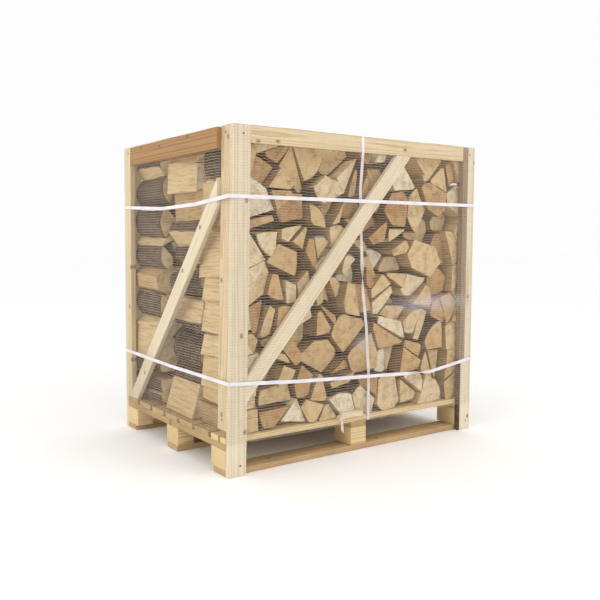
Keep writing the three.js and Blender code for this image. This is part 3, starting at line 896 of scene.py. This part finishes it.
def split_log(outline, row, row_low, row_high):
    """One log: a round cylinder, split along the outline's edges and sawn off at both ends."""
    side = side_of(outline)
    pith, radius, bark_out = choose_pith(outline, side, row)
    middle = middle_of(outline)
    # Logs inside the stack get a lower, darker mean tone than the side logs: painted shade on their split
    # faces in the gaps between logs. The spread round each mean is real variety.
    tone = log_draw.gauss(0.72 if side else 0.52, 0.2 if side else 0.33)
    tone = min(0.85 if side else 1.0, max(0.0, tone))
    length = LOG_LENGTH * log_draw.uniform(0.84 if side else 0.92, 0.99)
    low_down = min(p.y for p in outline) < DECK_TOP + FOOT_ZONE
    setback = end_setback(row["open_end"], side != 0 or low_down)
    if row["open_end"] == "back":
        high = row_high - setback
        low = max(high - length, row_low)
        open_y = high
    else:
        low = row_low + setback
        high = min(low + length, row_high)
        open_y = low
    only(None)
    bpy.ops.mesh.primitive_cylinder_add(
        vertices=LOG_SIDES, radius=radius, depth=high - low, end_fill_type="NGON",
        location=(pith.x, (low + high) / 2, pith.y), rotation=(math.pi / 2, log_draw.uniform(0, 0.3), 0),
    )
    log = settle(bpy.context.object)
    bpy.ops.object.mode_set(mode="EDIT")
    for here, there in zip(outline, outline[1:] + outline[:1]):
        edge = there - here
        if edge.length < 4 * MM:
            continue
        normal = Vector((edge.y, -edge.x)).normalized()
        if normal.dot(middle - here) > 0:
            normal = -normal
        if side and normal.x * side > 0.9:
            if bark_out:
                continue
            gap = log_draw.uniform(*row["hollow"]) * MM
            turn = log_draw.uniform(-0.25, 0.25)
        else:
            gap = log_draw.uniform(0.5, 3.0) * MM if side else gap_beside()
            turn = log_draw.uniform(-0.05, 0.05) if side else log_draw.uniform(-0.13, 0.13)
            if normal.y > 0.9 and min(here.y, there.y) > STACK_TOP - HEAP:
                gap, turn = min(gap, 1.5 * MM), turn / 3
        point = (here + there) / 2 - normal * gap
        normal.rotate(Matrix.Rotation(turn, 2))
        saw_off((point.x, open_y, point.y), (normal.x, log_draw.uniform(-0.04, 0.04), normal.y))
    for share in (0.25, 0.5, 0.75):
        score((0, low + (high - low) * share, 0), (0, 1, 0))
    bpy.ops.object.mode_set(mode="OBJECT")
    if len(log.data.polygons) < 5:
        bpy.data.objects.remove(log)
        return None
    tag_faces(log, pith, radius)
    apply_modifier(log, "SUBSURF", subdivision_type="SIMPLE", levels=1, render_levels=1)
    points = points_of(log)
    seed = log_draw.uniform(0, 90)
    moved = points + drift(points, 55 * MM, 2.6 * MM, seed) + drift(points, 17 * MM, 1.4 * MM, seed + 5)
    # The ends are sawn a little out of square, and the log lies a little out of line.
    slope_x, slope_z = log_draw.uniform(-0.11, 0.11), log_draw.uniform(-0.11, 0.11)
    moved[:, 1] += slope_x * (points[:, 0] - middle.x) + slope_z * (points[:, 2] - middle.y)
    moved[:, 2] += log_draw.gauss(0, 0.045 if side else 0.025) * (points[:, 1] - open_y)
    moved[:, 1] = np.clip(moved[:, 1], row_low - 3 * MM, row_high + 3 * MM)
    moved[:, 2] = np.clip(moved[:, 2], DECK_TOP + 0.5 * MM, STACK_TOP + 2 * MM)
    left = -SIDE_ROOM + row["lean_share"] * lean_at(moved[:, 2])
    moved[:, 0] = np.clip(moved[:, 0], left, SIDE_ROOM)
    set_points(log, moved)
    store(log, "grain", "FLOAT_VECTOR", points - np.array([pith.x, -seed / 9, pith.y]))
    store(log, "tone", "FLOAT", np.full(len(points), tone))
    store(log, "bark_radius", "FLOAT", np.full(len(points), radius))
    return log


def tag_faces(log, pith, radius):
    """Sorts a log's faces into end grain, split face and bark, by where they are and how they face."""
    faces = log.data.polygons
    kinds = []
    for face in faces:
        out = Vector((face.center.x - pith.x, 0, face.center.z - pith.y))
        if abs(face.normal.y) > 0.7:
            kinds.append(0)
        elif out.length > 0.955 * radius and face.normal.dot(out.normalized()) > 0.93:
            kinds.append(2)
        else:
            kinds.append(1)
    for material in LOG_MATERIALS:
        log.data.materials.append(material)
    faces.foreach_set("material_index", kinds)


TIERS = 4
TIER_RISE = 0.97 / TIERS
COLUMNS = ("left", "middle", "right")


def zone_of(outline):
    """Which part of its row a log belongs to, as (tier, column)."""
    middle = middle_of(outline)
    tier = min(TIERS - 1, int((middle.y - DECK_TOP) / TIER_RISE))
    column = int((middle.x + STACK_HALF) / (2 * STACK_HALF / len(COLUMNS)))
    return tier, min(len(COLUMNS) - 1, max(0, column))


def build_logs():
    for row in ROWS:
        node = f"logs_{row['name']}_row"
        low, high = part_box(node)
        outlines = log_outlines(row)
        for tier in range(TIERS):
            for column, place in enumerate(COLUMNS):
                chosen = [o for o in outlines if zone_of(o) == (tier, column)]
                made = [split_log(o, row, low.y, high.y) for o in chosen]
                zone = join_pieces([log for log in made if log])
                finish_piece(zone, f"logs_{row['name']}_tier_{tier + 1}_{place}",
                             LOG_MATERIALS, [node], angle=32)


# ---------------------------------------------------------------- net wrap

NET_LOW = 112 * MM
NET_PITCH = 9.6 * MM
NET_HALF_X = 600.35 * MM
NET_HALF_Y = 420.6 * MM
NET_CELL = 50 * MM  # the unrolled net is measured in cells of about this length
SIDE_CELLS, FRONT_CELLS = 17, 24
CORNER_CELLS = np.cumsum([0, SIDE_CELLS, FRONT_CELLS, SIDE_CELLS, FRONT_CELLS])
NET_CELLS = int(CORNER_CELLS[-1])
FOLD = 16 * MM  # how much of the net folds over the rails
TAPE_WIDE = 0.8 * MM
TAPE_THICK = 0.35 * MM
THREAD_RADIUS = 0.3 * MM


def wrap_round(points):
    """Takes points of the unrolled net (along, up, out) round the crate, from the back left corner."""
    cells = points[:, 0] / NET_CELL
    height = points[:, 1]
    out = points[:, 2]
    over = np.maximum(height - POST_TOP, 0)
    z = np.minimum(height, POST_TOP) + np.where(over > 0, out + 0.4 * MM, 0)
    grown = np.where(over > 0, -over, out)
    x = np.interp(cells, CORNER_CELLS, [-1, -1, 1, 1, -1]) * (NET_HALF_X + grown)
    y = np.interp(cells, CORNER_CELLS, [1, -1, -1, 1, 1]) * (NET_HALF_Y + grown)
    x += np.interp(cells, CORNER_CELLS, [0, 1, 0, 0, 0]) * lean_at(z)
    return np.column_stack([x, y, z])


def waver(points, depth):
    """Lets the strands wander up and down, neighbours together and each a little alone."""
    moved = points.copy()
    for i, (along, up, _) in enumerate(points):
        row = round((up - NET_LOW) / NET_PITCH)
        together = noise.noise(Vector((along * 3.1, up * 9, 4.2)))
        alone = noise.noise(Vector((along * 7.0, row * 3.7, 8.8)))
        moved[i, 1] += depth * (2.6 * together + 1.1 * alone)
    return moved


def build_net(tape, veil):
    length = NET_CELLS * NET_CELL
    rings = int((POST_TOP + FOLD - NET_LOW) / NET_PITCH)
    # Level tapes: one strip, repeated up the net, then wrapped round the crate.
    only(None)
    bpy.ops.mesh.primitive_grid_add(x_subdivisions=NET_CELLS, y_subdivisions=1, size=1,
                                    location=(length / 2, NET_LOW + 1 * MM, 0.1 * MM))
    strands = bpy.context.object
    strands.scale = (length - 0.6 * MM, TAPE_WIDE, 1)
    settle(strands)
    apply_modifier(strands, "SOLIDIFY", thickness=TAPE_THICK, offset=1)
    apply_modifier(strands, "ARRAY", count=rings, use_relative_offset=False, use_constant_offset=True,
                   constant_offset_displace=(0, NET_PITCH, 0))
    set_points(strands, wrap_round(waver(points_of(strands), MM)))
    finish_piece(strands, "net_level_tapes", [tape])
    # Fine threads zigzag between the tapes: one pair, repeated along and up.
    half_wave = NET_CELL / 2
    pair = []
    for side in (-1, 1):
        only(None)
        slope = math.atan2(NET_PITCH, side * half_wave)
        bpy.ops.mesh.primitive_cylinder_add(
            vertices=3, radius=THREAD_RADIUS, depth=math.hypot(half_wave, NET_PITCH), end_fill_type="NGON",
            location=(half_wave * (1 - side / 2), NET_LOW + 1 * MM + NET_PITCH / 2, 0.2 * MM),
            rotation=(math.pi / 2, 0, slope - math.pi / 2),
        )
        pair.append(settle(bpy.context.object))
    threads = join_pieces(pair)
    apply_modifier(threads, "ARRAY", count=NET_CELLS, use_relative_offset=False,
                   use_constant_offset=True, constant_offset_displace=(NET_CELL, 0, 0))
    apply_modifier(threads, "ARRAY", count=rings - 1, use_relative_offset=False,
                   use_constant_offset=True, constant_offset_displace=(0, NET_PITCH, 0))
    set_points(threads, wrap_round(points_of(threads)))
    finish_piece(threads, "net_fine_threads", [tape])
    # The sheet itself, a closed sleeve round the crate.
    only(None)
    tall = POST_TOP - NET_LOW
    bpy.ops.mesh.primitive_grid_add(x_subdivisions=NET_CELLS, y_subdivisions=20, size=1,
                                    location=(length / 2, NET_LOW + tall / 2, 0))
    sleeve = bpy.context.object
    sleeve.scale = (length, tall, 1)
    settle(sleeve)
    set_points(sleeve, wrap_round(points_of(sleeve)))
    bpy.ops.object.mode_set(mode="EDIT")
    bpy.ops.mesh.select_all(action="SELECT")
    bpy.ops.mesh.remove_doubles(threshold=0.01 * MM)
    bpy.ops.object.mode_set(mode="OBJECT")
    finish_piece(sleeve, "net_sleeve", [veil], ["net_wrap"])


# ---------------------------------------------------------------- straps

STRAP_WIDE = 13 * MM
STRAP_THICK = 0.8 * MM
STRAP_STEP = 14 * MM
BAND_X, BAND_Y = 602.2 * MM, 423.3 * MM
OVERLAP = 55 * MM  # how far the strap's end lies over its start


def strap(node, route, across, material, turns=()):
    """A flat strap laid along a closed route. It turns over once in each stretch of its length in turns."""
    corners = [Vector(p) for p in route]
    corners.append(corners[0])
    steps = [(b - a).length for a, b in zip(corners, corners[1:])]
    places = np.cumsum([0, *steps])
    samples = set(np.arange(0, places[-1], STRAP_STEP))
    for corner in places[1:-1]:
        samples |= {corner - 2 * MM, corner, corner + 2 * MM}
    samples |= {places[-1] + s for s in (2 * MM, OVERLAP / 2, OVERLAP)}
    samples = np.array(sorted(samples))
    wrapped = samples % places[-1]
    centres = np.column_stack([np.interp(wrapped, places, [c[k] for c in corners]) for k in range(3)])
    lift = np.where(samples >= places[-1], STRAP_THICK * 1.2, 0)
    only(None)
    bpy.ops.mesh.primitive_grid_add(x_subdivisions=len(samples) - 1, y_subdivisions=2, size=1)
    piece = bpy.context.object
    points = np.zeros((3, len(samples), 3))
    grain = np.zeros((3, len(samples), 3))
    for i, centre in enumerate(centres):
        run = Vector(centres[(i + 1) % len(centres)] - centres[i - 1]).normalized()
        wide = (Vector(across) - run * run.dot(across)).normalized()
        face = run.cross(wide)
        angle = 0.0
        for start, end in turns:
            share = min(1.0, max(0.0, (samples[i] - start) / (end - start)))
            angle += math.pi * share * share * (3 - 2 * share)
        turned = wide * math.cos(angle) + face * math.sin(angle)
        for j in range(3):
            points[j, i] = Vector(centre) + face * lift[i] + turned * (j - 1) * STRAP_WIDE / 2
            grain[j, i] = ((j - 1) * STRAP_WIDE / 2, samples[i], 0)
    set_points(piece, points.reshape(-1, 3))
    store(piece, "grain", "FLOAT_VECTOR", grain.reshape(-1, 3))
    apply_modifier(piece, "SOLIDIFY", thickness=STRAP_THICK, offset=0)
    return finish_piece(piece, node + "_band", [material], [node], angle=30)


LEVEL_START_X = 0.20  # the level straps' ends meet here, on the back


def build_straps(material):
    strap("strap_upper", [
        (LEVEL_START_X, BAND_Y, 0.934), (-BAND_X, BAND_Y, 0.932), (-BAND_X, 0.065, 0.916),
        (-BAND_X, -0.194, 0.923),
        (-BAND_X, -BAND_Y, 0.943), (BAND_X, -BAND_Y, 0.942), (BAND_X, BAND_Y, 0.936),
    ], UP, material)
    # The lower strap sags along the front and turns over once there.
    lower = [
        (LEVEL_START_X, BAND_Y, 0.318), (-BAND_X, BAND_Y, 0.327), (-BAND_X, 0.0, 0.319),
        (-BAND_X, -BAND_Y, 0.320),
        (-0.303, -BAND_Y, 0.299), (0.350, -BAND_Y, 0.267), (BAND_X, -BAND_Y, 0.302), (BAND_X, BAND_Y, 0.312),
    ]
    front_start = LEVEL_START_X + BAND_X + 2 * BAND_Y
    strap("strap_lower", lower, UP, material, turns=[(front_start + 0.80, front_start + 1.0)])
    # The upright strap goes over both rails, behind both braces and under the deck.
    rail, rest = 420.9 * MM, 398.8 * MM
    upright = [
        (-0.018, 0.20, 1.1807), (-0.020, -rail, 1.1807), (-0.019, -rail, 1.120), (-0.010, -rest, 0.985),
        (-0.004, -rest, 0.830), (0.008, -rest, 0.610), (0.028, -rest, 0.468), (0.042, -rest, 0.293),
        (0.042, -0.4008, DECK_TOP), (0.042, -0.4008, 0.1101), (0.042, 0.4008, 0.1101),
        (0.042, 0.4008, DECK_TOP), (0.030, rest, 0.500), (0.010, rest, 0.830), (0.0, rest, 0.985),
        (-0.015, rail, 1.119), (-0.020, rail, 1.1807),
    ]
    down = 0.20 + rail
    strap("strap_upright", upright, Vector((1, 0, 0)), material, turns=[(down + 0.43, down + 0.58)])


# ---------------------------------------------------------------- nails, chip and splinter


def build_nails(material):
    """Nail heads 7 mm across, standing a little proud: one is shaped, then copied to every place."""
    only(None)
    bpy.ops.mesh.primitive_cylinder_add(vertices=14, radius=3.5 * MM, depth=1.6 * MM)
    nail = bpy.context.object
    bpy.ops.object.mode_set(mode="EDIT")
    select_points(nail, lambda place: place.z > 0)
    bpy.ops.mesh.bevel(offset=0.5 * MM, segments=2, affect="EDGES")
    bpy.ops.object.mode_set(mode="OBJECT")
    heads = []
    for place, facing in nail_places():
        head = nail.copy()
        head.data = nail.data.copy()
        bpy.context.scene.collection.objects.link(head)
        head.matrix_world = Matrix.Translation(place) @ facing.to_track_quat("Z", "Y").to_matrix().to_4x4()
        heads.append(settle(head))
    bpy.data.objects.remove(nail)
    finish_piece(join_pieces(heads), "nail_heads", [material])


def nail_places():
    """Where nails show, as (place, the way they face)."""
    front, back = Vector((0, -1, 0)), Vector((0, 1, 0))
    left, right = Vector((-1, 0, 0)), Vector((1, 0, 0))
    for corner, face, out in (("front_left", "front", front), ("front_right", "front", front),
                              ("back_left", "back", back), ("back_right", "back", back)):
        low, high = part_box(f"post_{corner}_{face}_board")
        y = low.y if face == "front" else high.y
        leans = corner == "front_left"
        for height, share in ((36 * MM, 0.66), (1.150, 0.57)):
            shift = lean_at(height) if leans else 0.0
            yield Vector((low.x + shift + BOARD_WIDE * share, y, height)), out
        low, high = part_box(f"post_{corner}_side_board")
        outwards = left if "left" in corner else right
        for height in (0.19, 1.155):
            x = low.x + (lean_at(height - low.z) if leans else 0.0) if "left" in corner else high.x
            yield Vector((x, (low.y + high.y) / 2, height)), outwards
    for x in (-0.565, -0.006, 0.565):
        for y in (-0.36, -0.009, 0.36):
            for shift in (-0.018, 0.018):
                yield Vector((x + shift, y + shift / 2, 0.8 * MM)), Vector((0, 0, -1))


def build_chip(material):
    """A flat chip on the front edge of the deck and a splinter that hangs below it."""
    pieces = []
    for low, high, cuts in (
        (Vector((-0.118, -0.4168, 0.1335)), Vector((0.002, -0.3975, 0.1545)),
         [((-0.113, -0.4, 0.138), (-0.75, 0, 0.66)), ((0.001, -0.4, 0.145), (0.98, 0, 0.2))]),
        (Vector((-0.102, -0.4040, 0.073)), Vector((-0.082, -0.4012, 0.140)),
         [((-0.102, -0.4, 0.140), (-0.989, 0, -0.148)), ((-0.089, -0.4, 0.140), (0.994, 0, 0.104)),
          ((-0.092, -0.4, 0.082), (-0.6, 0, -0.8))]),
    ):
        piece = start_block(low, high)
        bpy.ops.object.mode_set(mode="EDIT")
        for point, normal in cuts:
            saw_off(point, normal)
        bpy.ops.mesh.select_all(action="SELECT")
        bpy.ops.mesh.bevel(offset=0.5 * MM, segments=1, affect="EDGES")
        bpy.ops.object.mode_set(mode="OBJECT")
        apply_modifier(piece, "SUBSURF", subdivision_type="SIMPLE", levels=2, render_levels=2)
        points = points_of(piece)
        set_points(piece, points + drift(points, 18 * MM, 1.2 * MM, 3))
        store(piece, "grain", "FLOAT_VECTOR", (points - np.array((low + high) / 2))[:, [2, 0, 1]] + 0.4)
        store(piece, "tone", "FLOAT", np.full(len(points), 1.0))
        pieces.append(piece)
    finish_piece(pieces[0], "loose_chip", [material])
    finish_piece(pieces[1], "hanging_splinter", [material])


# ---------------------------------------------------------------- the crate

aim_camera()
light_studio()
lay_floor()

pine = sawn_timber("rough_sawn_pine", "#E5D9C0", "#D6C29C", "#CFC0A4", 0.35, 0.3, 0.72)
rail_pine = sawn_timber("rough_sawn_yellow_pine", "#E3D1AB", "#CFB07C", "#C9B48C", 0.3, 0.3, 0.72)
orange_pine = sawn_timber("rough_sawn_orange_pine", "#AF8759", "#906B42", "#987B53", 0.3, 0.3, 0.72)
# A darker grey-brown pine for the left edge of the front right post board.
brown_edge_pine = sawn_timber("darkened_pine_edge", "#A08A72", "#7C6752", "#8E7A66", 0.6, 0.2, 0.85)
weathered_pine = sawn_timber("weathered_pallet_pine", "#CBAD7D", "#A58559", "#97856B", 0.75, 0.4, 0.85)
scuffed_pine = sawn_timber("weathered_pine_with_paint", "#CBAD7D", "#A58559", "#97856B", 0.7, 0.3, 0.85, True)
block_pine = sawn_timber("fresh_pallet_pine", "#E6CE9D", "#CBA870", "#C2A77C", 0.3, 0.2, 0.8)
LOG_MATERIALS = [log_end_material(), split_face_material(), bark_material()]

build_pallet(weathered_pine, scuffed_pine, block_pine)
build_posts(pine, rail_pine, brown_edge_pine, LOG_MATERIALS[2])
build_rails(rail_pine, orange_pine)
build_braces(pine)
build_logs()
build_chip(LOG_MATERIALS[1])
build_net(tape_material(), veil_material())
build_straps(strap_material())
build_nails(nail_material())
